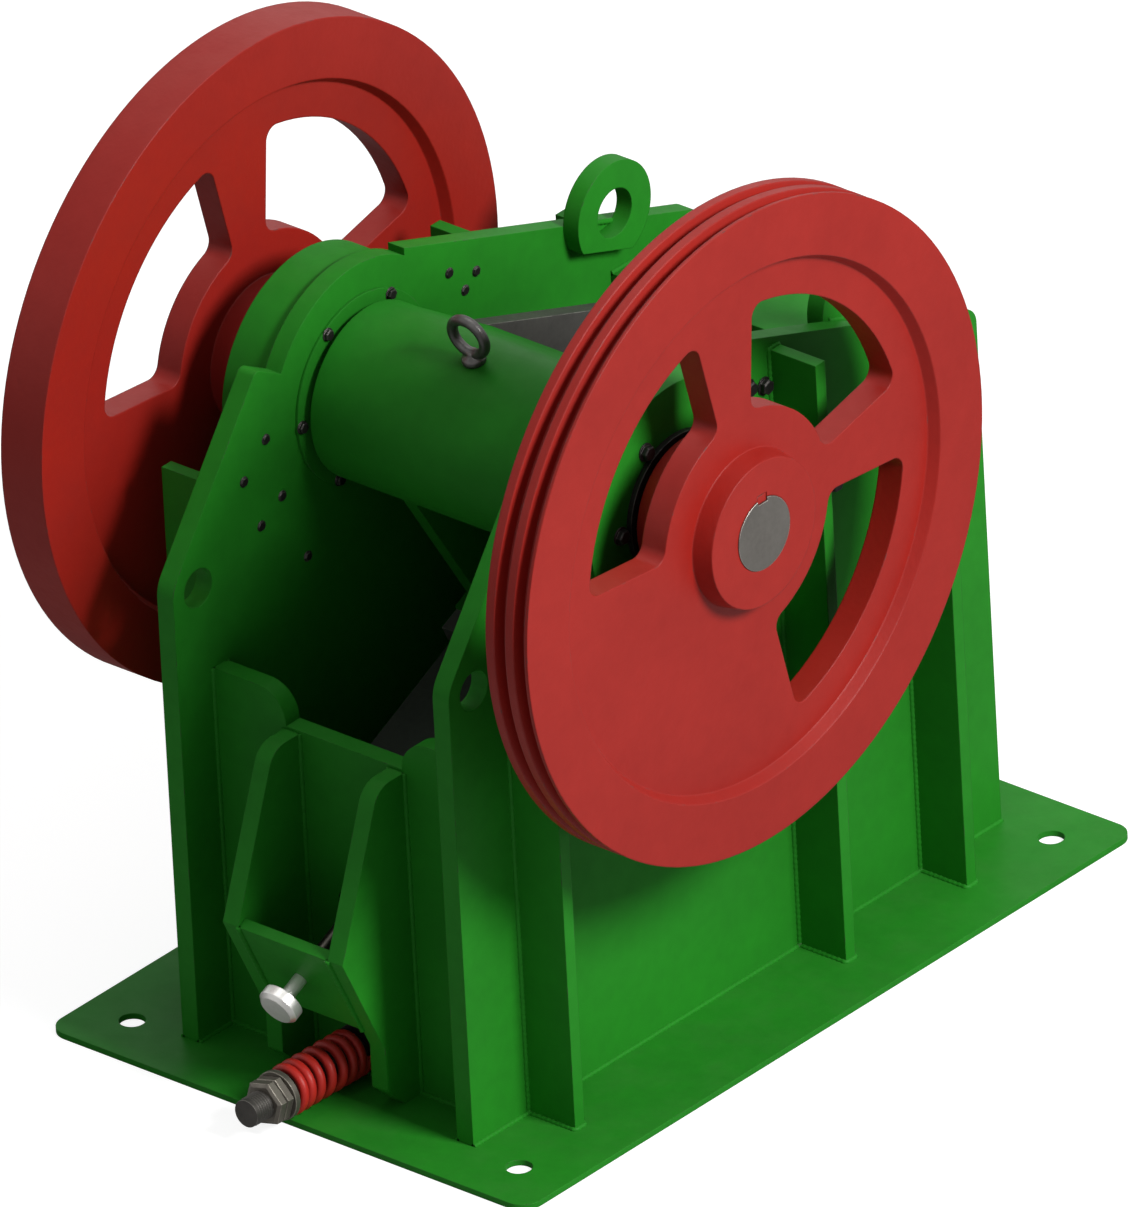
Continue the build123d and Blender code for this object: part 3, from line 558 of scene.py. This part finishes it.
# A rippled bead that follows the seed's edges
def buildWeldBead():
    tree, start = newGrowTree("weldBead", [
        ("Bead Radius", "NodeSocketFloat", 0.003), ("Ripple Length", "NodeSocketFloat", 0.006),
        ("Ripple Height", "NodeSocketFloat", 0.15), ("Sides", "NodeSocketInt", 7)])
    path = addNode(tree, "GeometryNodeMeshToCurve", Mesh=start["Geometry"])
    steps = addNode(tree, "GeometryNodeResampleCurve", {"mode": "LENGTH"}, Curve=path.outputs[0],
                    Length=addMath(tree, "DIVIDE", start["Ripple Length"], beadSteps))
    along = tree.nodes.new("GeometryNodeSplineParameter").outputs["Length"]
    phase = addMath(tree, "MULTIPLY", addMath(tree, "DIVIDE", along, start["Ripple Length"]),
                    math.tau)
    ripple = addMath(tree, "MULTIPLY", addMath(tree, "SINE", phase), start["Ripple Height"])
    ring = addNode(tree, "GeometryNodeCurvePrimitiveCircle", Resolution=start["Sides"],
                   Radius=start["Bead Radius"])
    bead = addNode(tree, "GeometryNodeCurveToMesh", {"Fill Caps": True}, Curve=steps.outputs[0],
                   Profile_Curve=ring.outputs[0], Scale=addMath(tree, "ADD", ripple, 1.0))
    return endGrowTree(tree, start, bead.outputs[0], True)


# A coil whose turns draw together towards both ends
def buildCoil():
    tree, start = newGrowTree("coil", [
        ("Turns", "NodeSocketFloat", 7.0), ("Coil Radius", "NodeSocketFloat", 0.02),
        ("Wire Radius", "NodeSocketFloat", 0.005), ("Length", "NodeSocketFloat", 0.1),
        ("End Closing", "NodeSocketFloat", 0.25), ("Steps", "NodeSocketInt", 40),
        ("Sides", "NodeSocketInt", 14)])
    spiral = addNode(tree, "GeometryNodeCurveSpiral", {"Height": 0.0}, Resolution=start["Steps"],
                     Rotations=start["Turns"], Start_Radius=start["Coil Radius"],
                     End_Radius=start["Coil Radius"])
    share = tree.nodes.new("GeometryNodeSplineParameter").outputs["Factor"]
    swing = addMath(tree, "SINE", addMath(tree, "MULTIPLY", share, math.tau))
    closing = addMath(tree, "MULTIPLY", addMath(tree, "DIVIDE", swing, math.tau),
                      start["End Closing"])
    height = addMath(tree, "MULTIPLY", addMath(tree, "SUBTRACT", share, closing),
                     start["Length"])
    rise = tree.nodes.new("ShaderNodeCombineXYZ")
    tree.links.new(height, rise.inputs["Z"])
    risen = addNode(tree, "GeometryNodeSetPosition", Geometry=spiral.outputs[0],
                    Offset=rise.outputs[0])
    ring = addNode(tree, "GeometryNodeCurvePrimitiveCircle", Resolution=start["Sides"],
                   Radius=start["Wire Radius"])
    coil = addNode(tree, "GeometryNodeCurveToMesh", {"Fill Caps": True}, Curve=risen.outputs[0],
                   Profile_Curve=ring.outputs[0])
    return endGrowTree(tree, start, coil.outputs[0], True)


growTrees = {"boltHeads": buildBoltHeads(), "weldBead": buildWeldBead(), "coil": buildCoil()}
print("node trees built:", len(growTrees))


# Puts a mesh on the body that it moves with
def addPiece(name, mesh, body):
    piece = bpy.data.objects.new(name, mesh)
    bpy.context.collection.objects.link(piece)
    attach(piece, body)
    return piece


# Turns every face outwards, writes the mesh and frees the shell
def closeShell(shell, mesh):
    bmesh.ops.recalc_face_normals(shell, faces=shell.faces)
    shell.to_mesh(mesh)
    shell.free()
    return mesh


# Faces between each ring of corners and the next
def joinRings(shell, rings):
    for low, high in zip(rings, rings[1:]):
        for i, corner in enumerate(low):
            m = (i + 1) % len(low)
            shell.faces.new((corner, low[m], high[m], high[i]))


# The seed's points and edges are grown in the seed's own space, then moved to their place
def growMesh(name, treeName, values, points, edges, finishName, place):
    tree = growTrees[treeName]
    data = bpy.data.meshes.new(name + "Seed")
    data.from_pydata(points, edges, [])
    seed = bpy.data.objects.new(name + "Seed", data)
    bpy.context.collection.objects.link(seed)
    modifier = seed.modifiers.new("grow", "NODES")
    modifier.node_group = tree
    for item in tree.interface.items_tree:
        if item.in_out == "INPUT" and item.name in values:
            modifier[item.identifier] = values[item.name]
        elif item.in_out == "INPUT" and item.name == "Finish":
            modifier[item.identifier] = finishes[finishName]
    mesh = bpy.data.meshes.new_from_object(seed.evaluated_get(
        bpy.context.evaluated_depsgraph_get()))
    seed.modifiers.remove(modifier)
    bpy.data.objects.remove(seed)
    mesh.transform(place)
    mesh.name = name
    shell = bmesh.new()
    shell.from_mesh(mesh)
    return closeShell(shell, mesh)


# Bolt rings on the bearing housings and seals, in turns about the shaft
boltRings = {
    "HousingBolts": {"count": 6, "ring": 0.0825, "start": 0.0,
                     "Head Radius": 0.0076, "Head Height": 0.0060,
                     "Washer Radius": 0.0092, "Washer Height": 0.0016, "Seed": 3},
    "SealBolts": {"count": 6, "ring": 0.0915, "start": 2.0,
                  "Head Radius": 0.0058, "Head Height": 0.0038,
                  "Washer Radius": 0.0068, "Washer Height": 0.0008, "Seed": 5},
}

# Bolts on both faces of the side plates, at places along Y from the rear edge and up
plateBoltSettings = {
    "Outer": {"at": [(0.5055, 0.6232), (0.5285, 0.6153), (0.6200, 0.4700), (0.6200, 0.2600)],
              "Head Radius": 0.0078, "Head Height": 0.0062, "Washer Radius": 0.0094,
              "Washer Height": 0.0016, "Seed": 8},
    "Inner": {"at": [(0.2042, 0.5936), (0.1702, 0.5630), (0.1911, 0.5064), (0.2226, 0.5247),
                     (0.2537, 0.4457), (0.4745, 0.6519), (0.5127, 0.6370), (0.4957, 0.6241)],
              "Head Radius": 0.0048, "Head Height": 0.0016, "Washer Radius": 0.0056,
              "Washer Height": 0.0006, "Seed": 9},
}


# A place whose local Z points out along X, with local X along Y
def facing(sign, at):
    place = Matrix(((0, 0, sign), (sign, 0, 0), (0, 1, 0))).to_4x4()
    place.translation = at
    return place


def addBoltPiece(name, settings, points, place):
    mesh = growMesh(name, "boltHeads", settings, points, [], "dark_steel", place)
    addPiece(name, mesh, "frame")


def addRingBolts(side, sign):
    low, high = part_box(f"{side}_bearing_housing")
    outerFace, innerFace = (high.x, low.x) if sign > 0 else (low.x, high.x)
    for name, face, out in (("HousingBolts", outerFace, sign), ("SealBolts", innerFace, -sign)):
        settings = boltRings[name]
        points = []
        for i in range(settings["count"]):
            turn = math.radians(settings["start"]) + i * math.tau / settings["count"]
            points.append((out * settings["ring"] * math.cos(turn),
                           settings["ring"] * math.sin(turn), 0))
        addBoltPiece(side + name, settings, points,
                     facing(out, Vector((face, shaftAt.y, shaftAt.z))))


def addPlateBolts(side, sign):
    for where, x, out in (("Outer", plateOuter, sign), ("Inner", plateInner, -sign)):
        settings = plateBoltSettings[where]
        points = [(out * (rearEdge + along), up, 0) for along, up in settings["at"]]
        addBoltPiece(side + where + "Bolts", settings, points,
                     facing(out, Vector((sign * x, 0, 0))))


for side, sign in sides:
    addRingBolts(side, sign)
    addPlateBolts(side, sign)
print("bolts added")


# Fillet welds along the seams of the frame, whose places run along Y from the rear edge and up
weldSettings = {
    "bead": {"Bead Radius": 0.0030, "Ripple Length": 0.0060, "Ripple Height": 0.14, "Sides": 7},
    "lugReach": 0.045,
    "lugAlong": 0.692,
    "plateEdge": 0.6104,
    "plateFall": 18.9,
    "bracketNose": (0.0105, 0.1890),
    "bracketChin": (0.0545, 0.0945),
}


# One piece of weld bead along every path
def addSeams(name, paths):
    points, edges = [], []
    for path in paths:
        edges += [(len(points) + i, len(points) + i + 1) for i in range(len(path) - 1)]
        points += path
    mesh = growMesh(name, "weldBead", weldSettings["bead"], points, edges, "body_paint",
                    Matrix())
    addPiece(name, mesh, "frame")


# Seams of a side plate and its ribs on the outside
def addSideWelds(side, sign):
    x = sign * plateOuter
    plateLow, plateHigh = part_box(f"{side}_side_plate")
    paths = [[(x, plateLow.y, baseTop), (x, plateHigh.y, baseTop)]]
    for number in (1, 2, 3):
        low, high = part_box(f"{side}_rib_{number}")
        tip = high.x if sign > 0 else low.x
        paths += [[(x, low.y, baseTop), (x, low.y, high.z), (x, high.y, high.z),
                   (x, high.y, baseTop)],
                  [(x, low.y, baseTop), (tip, low.y, baseTop), (tip, high.y, baseTop),
                   (x, high.y, baseTop)]]
    addSeams(side + "SideWelds", paths)


# Seams inside a side plate: its foot, the rear wall, the lug and the bracket
def addInnerWelds(side, sign, settings):
    inner = sign * plateInner
    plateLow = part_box(f"{side}_side_plate")[0]
    wallLow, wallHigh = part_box("rear_wall")
    paths = [[(inner, plateLow.y, baseTop), (inner, wallLow.y, baseTop)],
             [(inner, wallLow.y, baseTop), (inner, wallLow.y, wallHigh.z)],
             [(inner, wallHigh.y, baseTop), (inner, wallHigh.y, wallHigh.z)]]
    fall = math.tan(math.radians(settings["plateFall"]))
    middle, reach = settings["lugAlong"], settings["lugReach"]
    paths.append([(inner, rearEdge + middle + step, settings["plateEdge"] - step * fall)
                  for step in (-reach, reach)])
    ribLow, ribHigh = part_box(f"{side}_bracket_rib")
    for face in (ribLow.x, ribHigh.x):
        paths.append([(face, wallLow.y, baseTop), (face, wallLow.y, ribHigh.z)])
    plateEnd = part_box("bracket_plate")[1 if sign > 0 else 0].x
    paths.append([(plateEnd, rearEdge + along, up)
                  for along, up in (settings["bracketNose"], settings["bracketChin"])])
    addSeams(side + "BracketWelds", paths)


def addFrontWelds():
    wallLow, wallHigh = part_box("front_wall")
    paths = [[(-plateInner, wallLow.y, baseTop), (plateInner, wallLow.y, baseTop)],
             [(-plateInner, wallHigh.y, baseTop), (plateInner, wallHigh.y, baseTop)]]
    deckLow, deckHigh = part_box("front_deck")
    for face in (-plateInner, plateInner):
        paths += [[(face, wallHigh.y, baseTop), (face, wallHigh.y, wallHigh.z)],
                  [(face, deckLow.y, deckHigh.z), (face, deckHigh.y, deckHigh.z)]]
    for number in (1, 2, 3):
        low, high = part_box(f"front_rib_{number}")
        for face in (low.x, high.x):
            paths.append([(face, high.y, baseTop), (face, low.y, baseTop), (face, low.y, high.z),
                          (face, high.y, high.z)])
    addSeams("frontWelds", paths)


def addRearFootWeld():
    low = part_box("rear_wall")[0]
    addSeams("rearFootWeld", [[(-plateInner, low.y, baseTop), (plateInner, low.y, baseTop)]])


for side, sign in sides:
    addSideWelds(side, sign)
    addInnerWelds(side, sign, weldSettings)
addFrontWelds()
addRearFootWeld()
print("welds added")


# The tension rod's spring, nuts and thread
rodSettings = {
    "rise": 1.2,
    "spring": {"Turns": 7.4, "Coil Radius": 0.0205, "Wire Radius": 0.0050,
               "End Closing": 0.25, "Steps": 40, "Sides": 14},
    "springSlack": 0.0008,
    "springKeep": 0.89,
    "springAnchorUp": 0.03,
    "nut": {"Head Radius": 0.0236, "Washer Radius": 0.0205, "Washer Height": 0.0006, "Seed": 2},
    "nutShare": 0.92,
    "nutInset": 0.0005,
    "thread": {"Coil Radius": 0.0136, "Wire Radius": 0.0009, "End Closing": 0.0, "Steps": 32,
               "Sides": 6},
    "threadPitch": 0.0030,
    "threadShort": 0.004,
}


# A place whose local Z points back along the rod, at a distance along Y on its middle line
def onRod(y):
    pin = next(j for j in frame["joints"] if j["name"] == "rod_tilt")["pos_m"]
    rise = math.radians(rodSettings["rise"])
    place = Matrix(((1, 0, 0), (0, math.sin(rise), -math.cos(rise)),
                    (0, math.cos(rise), math.sin(rise)))).to_4x4()
    place.translation = Vector((0, y, pin[2] + (pin[1] - y) * math.tan(rise)))
    return place


# Grown between its seat and the washer
def addSpring(settings):
    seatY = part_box("spring_seat")[0].y
    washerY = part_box("spring_washer")[1].y
    endGap = settings["spring"]["Wire Radius"] + settings["springSlack"]
    values = settings["spring"] | {"Length": seatY - washerY - 2 * endGap}
    # Its brighter red is painted light
    mesh = growMesh("springCoil", "coil", values, [(0, 0, 0)], [], "painted_light_spring_red",
                    onRod(seatY - endGap))
    spring = addPiece("springCoil", mesh, "frame")
    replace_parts(spring, "tension_spring")
    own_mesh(spring)


def addNuts(settings):
    for number in (1, 2):
        low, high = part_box(f"rod_nut_{number}")
        height = (high.y - low.y) * settings["nutShare"]
        values = settings["nut"] | {"Head Height": height - settings["nut"]["Washer Height"]}
        mesh = growMesh(f"rodNut{number}", "boltHeads", values, [(0, 0, 0)], [], "nut_steel",
                        onRod(high.y - settings["nutInset"]))
        nut = addPiece(f"rodNut{number}", mesh, "rod")
        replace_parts(nut, f"rod_nut_{number}")


# From the last nut almost to the rod's end
def addThread(settings):
    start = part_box("rod_nut_2")[0].y
    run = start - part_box("tension_rod")[0].y - settings["threadShort"]
    values = settings["thread"] | {"Turns": run / settings["threadPitch"], "Length": run}
    # The thread takes the same darker steel with painted shade
    mesh = growMesh("rodThread", "coil", values, [(0, 0, 0)], [], "rod_shaded_steel", onRod(start))
    addPiece("rodThread", mesh, "rod")


addSpring(rodSettings)
addNuts(rodSettings)
addThread(rodSettings)
print("rod pieces added")


# The lifting eye on the barrel: a round ring, and a turned foot as radius and height
eyeSettings = {
    "tilt": 12.5,
    "barrelRadius": 0.088,
    "footGap": 0.0003,
    "footHeight": 0.0070,
    "ringRadius": 0.0195,
    "wireRadius": 0.0055,
    "ringSunk": 0.003,
    "ringSteps": 56,
    "wireSteps": 16,
    "foot": [(0.0118, 0.0), (0.0120, 0.0012), (0.0120, 0.0048), (0.0106, 0.0064),
             (0.0080, 0.0076), (0.0062, 0.0100), (0.0054, 0.0125)],
}


def addEyeRing(settings):
    shell = bmesh.new()
    steps, wireSteps = settings["ringSteps"], settings["wireSteps"]
    radius, wire = settings["ringRadius"], settings["wireRadius"]
    middle = settings["footHeight"] + radius + wire - settings["ringSunk"]
    turns = [i * math.tau / steps for i in range(steps)]
    rows = []
    for turn in turns:
        row = []
        for k in range(wireSteps):
            around = k * math.tau / wireSteps
            reach = radius + wire * math.cos(around)
            row.append(shell.verts.new((reach * math.cos(turn), wire * math.sin(around),
                                        middle + reach * math.sin(turn))))
        rows.append(row)
    joinRings(shell, rows + rows[:1])
    rings = [[shell.verts.new((r * math.cos(turn), r * math.sin(turn), z)) for turn in turns]
             for r, z in settings["foot"]]
    joinRings(shell, rings)
    shell.faces.new(rings[0])
    shell.faces.new(rings[-1])
    mesh = closeShell(shell, bpy.data.meshes.new("eyeRing"))
    tilt = math.radians(settings["tilt"])
    place = Matrix.Rotation(tilt, 4, "X")
    place.translation = shaftAt + (settings["barrelRadius"] + settings["footGap"]) * Vector(
        (0, -math.sin(tilt), math.cos(tilt)))
    mesh.transform(place)
    mesh.shade_smooth()
    mesh.materials.append(finishes["ring_steel"])
    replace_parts(addPiece("eyeRing", mesh, "swing_jaw"), "eye_bolt")


addEyeRing(eyeSettings)
print("eye bolt added")


# Feather keys in the hubs, with a round inner end and broken edges
keySettings = {
    "inner": 0.2500,
    "outer": 0.3357,
    "width": 0.0138,
    "low": 0.0327,
    "high": 0.0414,
    "chamfer": 0.0005,
    "corner": 0.0010,
    "arcSteps": 12,
}


def keyOutline(settings, inset):
    half, corner = settings["width"] / 2, settings["corner"]
    wide, end = half - inset, settings["outer"] - inset
    corners = [(end - corner, -wide), (end, corner - wide), (end, wide - corner),
               (end - corner, wide)]
    for i in range(settings["arcSteps"] + 1):
        turn = (0.5 + i / settings["arcSteps"]) * math.pi
        corners.append((settings["inner"] + half + wide * math.cos(turn),
                        wide * math.sin(turn)))
    return corners


def addKeys(settings):
    chamfer = settings["chamfer"]
    levels = ((settings["low"], chamfer), (settings["low"] + chamfer, 0.0),
              (settings["high"] - chamfer, 0.0), (settings["high"], chamfer))
    for side, sign in sides:
        shell = bmesh.new()
        rings = [[shell.verts.new((sign * x, shaftAt.y + y, shaftAt.z + level))
                  for x, y in keyOutline(settings, inset)] for level, inset in levels]
        joinRings(shell, rings)
        shell.faces.new(rings[0])
        shell.faces.new(rings[-1])
        mesh = closeShell(shell, bpy.data.meshes.new(side + "Key"))
        mesh.materials.append(finishes["wheel_paint"])
        addPiece(side + "Key", mesh, "shaft")


addKeys(keySettings)
print("keys added")


# Studio

studioSettings = {
    "floorSize": 60.0,
    "floorColour": (0.38, 0.38, 0.38),
    "floorRoughness": 0.9,
    "floorGlow": 0.85,
    "worldStrength": 0.23,
    "key": {"at": (4.2, 0.1, 3.5), "size": 1.6, "power": 298.0},
    "top": {"at": (-0.4, 0.6, 4.8), "size": 3.0, "power": 40.0},
}


def addLamp(name, settings, aim):
    data = bpy.data.lights.new(name, "AREA")
    data.shape = "DISK"
    data.size = settings["size"]
    data.energy = settings["power"]
    lamp = bpy.data.objects.new(name, data)
    lamp.location = settings["at"]
    lamp.rotation_euler = (Vector(aim) - Vector(settings["at"])).to_track_quat("-Z", "Y").to_euler()
    bpy.context.collection.objects.link(lamp)


# White to the camera, also in mirrors and glass, and a weaker light to all else
def addWorld(settings):
    world = bpy.data.worlds.new("studioWorld")
    bpy.context.scene.world = world
    world.use_nodes = True
    tree = world.node_tree
    light = tree.nodes["Background"]
    light.inputs["Color"].default_value = (1, 1, 1, 1)
    light.inputs["Strength"].default_value = settings["worldStrength"]
    white = addNode(tree, "ShaderNodeBackground", {"Color": (1, 1, 1, 1), "Strength": 1.0})
    path = tree.nodes.new("ShaderNodeLightPath")
    seen = addMath(tree, "MAXIMUM", path.outputs["Is Camera Ray"], path.outputs["Is Glossy Ray"])
    seen = addMath(tree, "MAXIMUM", seen, path.outputs["Is Transmission Ray"])
    mix = tree.nodes.new("ShaderNodeMixShader")
    for i, socket in enumerate((seen, light.outputs[0], white.outputs[0])):
        tree.links.new(socket, mix.inputs[i])
    tree.links.new(mix.outputs[0], tree.nodes["World Output"].inputs["Surface"])


# Paper that glows to the camera alone, so that it stays white around the shadow
def addFloor(settings):
    mesh = bpy.data.meshes.new("studioFloor")
    half = settings["floorSize"] / 2
    mesh.from_pydata([(-half, -half, 0), (half, -half, 0), (half, half, 0), (-half, half, 0)], [],
                     [(0, 1, 2, 3)])
    floor = bpy.data.objects.new("studioFloor", mesh)
    bpy.context.collection.objects.link(floor)
    material, tree, shader = newMaterial("floorPaper")
    shader.inputs["Base Color"].default_value = settings["floorColour"] + (1.0,)
    shader.inputs["Roughness"].default_value = settings["floorRoughness"]
    shader.inputs["Emission Color"].default_value = (1, 1, 1, 1)
    path = tree.nodes.new("ShaderNodeLightPath")
    glow = addMath(tree, "MULTIPLY", path.outputs["Is Camera Ray"], settings["floorGlow"])
    tree.links.new(glow, shader.inputs["Emission Strength"])
    mesh.materials.append(material)


addWorld(studioSettings)
addFloor(studioSettings)
for name in ("key", "top"):
    addLamp(name + "Lamp", studioSettings[name], (cadBox[0] + cadBox[1]) / 2)
bpy.context.scene.view_settings.view_transform = "Standard"
print("studio set")
